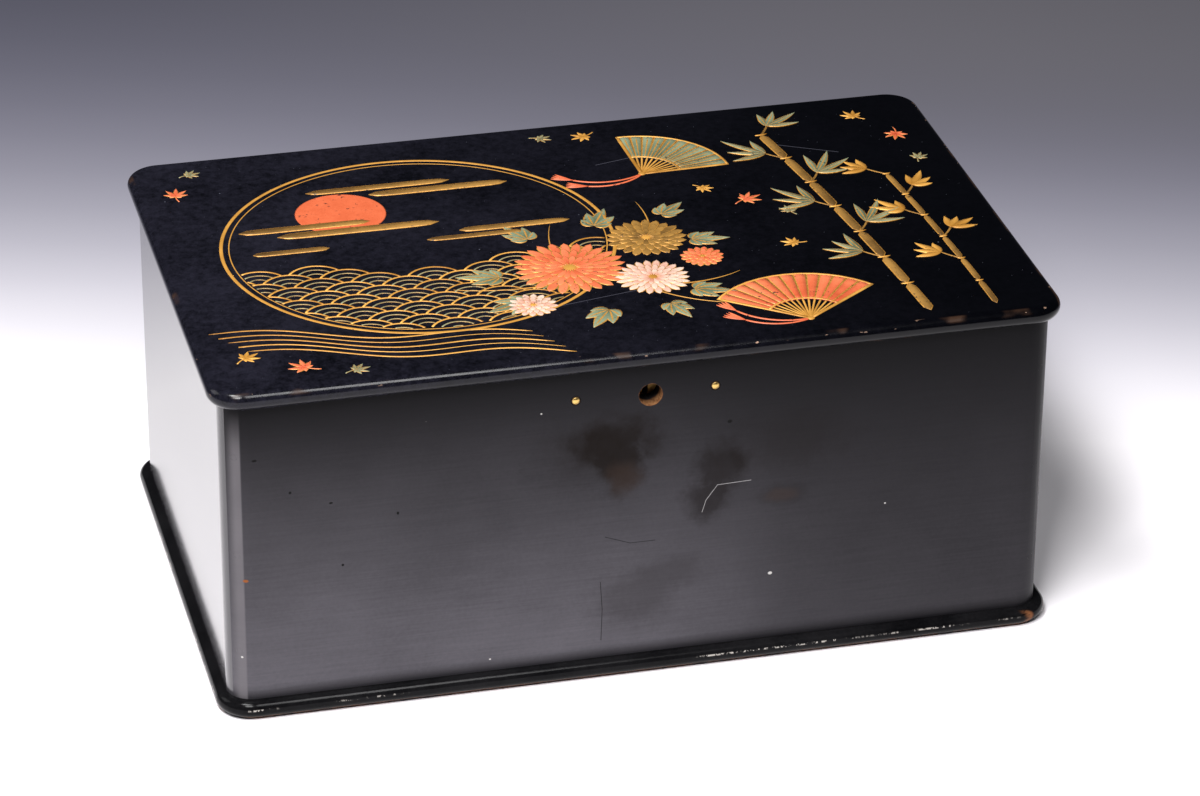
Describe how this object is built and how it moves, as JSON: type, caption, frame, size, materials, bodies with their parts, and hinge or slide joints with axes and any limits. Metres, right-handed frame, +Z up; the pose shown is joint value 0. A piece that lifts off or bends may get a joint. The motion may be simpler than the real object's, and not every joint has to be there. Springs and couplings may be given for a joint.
{
  "type": "deed box",
  "caption": "Flat rectangular lacquered wooden deed box with a hinged overhanging lid, a projecting base board, a round keyhole and a small brass box lock.",
  "frame": {"origin": "middle of the base board's underside, on the surface that the box stands on", "axes": "+X to the right along the long front, -Y out of the front wall with the keyhole, +Z up through the lid"},
  "size_m": [0.3284, 0.2064, 0.1382],
  "materials": {
    "black_lacquer": "glossy black lacquer over wood",
    "bare_wood": "bare wood pegs",
    "old_brass": "old dull brass",
    "lock_steel": "filed steel, slightly dark with age"
  },
  "bodies": {
    "case": {"base_board": "black_lacquer", "front_wall": "black_lacquer", "back_wall": "black_lacquer", "left_wall": "black_lacquer", "right_wall": "black_lacquer", "corner_pegs": "bare_wood", "base_pegs": "bare_wood", "left_hinge_box_leaf": "old_brass", "right_hinge_box_leaf": "old_brass", "left_hinge_pin": "old_brass", "right_hinge_pin": "old_brass", "left_hinge_box_screws": "old_brass", "right_hinge_box_screws": "old_brass", "lock_back_plate": "old_brass", "lock_top_plate": "old_brass", "lock_cap": "old_brass", "lock_left_pin": "old_brass", "lock_right_pin": "old_brass", "lock_studs": "lock_steel", "lock_key_post": "lock_steel", "lock_ward": "old_brass", "lock_spring": "lock_steel"},
    "lid": {"lid_board": "black_lacquer", "left_hinge_lid_leaf": "old_brass", "right_hinge_lid_leaf": "old_brass", "left_hinge_lid_screws": "old_brass", "right_hinge_lid_screws": "old_brass", "link_plate": "old_brass", "left_link": "old_brass", "right_link": "old_brass", "link_screws": "old_brass"},
    "bolt": {"lock_bolt": "lock_steel", "left_bolt_hook": "lock_steel", "right_bolt_hook": "lock_steel"}
  },
  "joints": [
    {"name": "lid_hinge", "type": "hinge", "parent": "case", "child": "lid", "pos_m": [0, 0.0993, 0.1308], "axis": [-1, 0, 0], "range_deg": [0, 108]},
    {"name": "bolt_slide", "type": "slide", "parent": "case", "child": "bolt", "axis": [1, 0, 0], "range_m": [0, 0.005]}
  ]
}
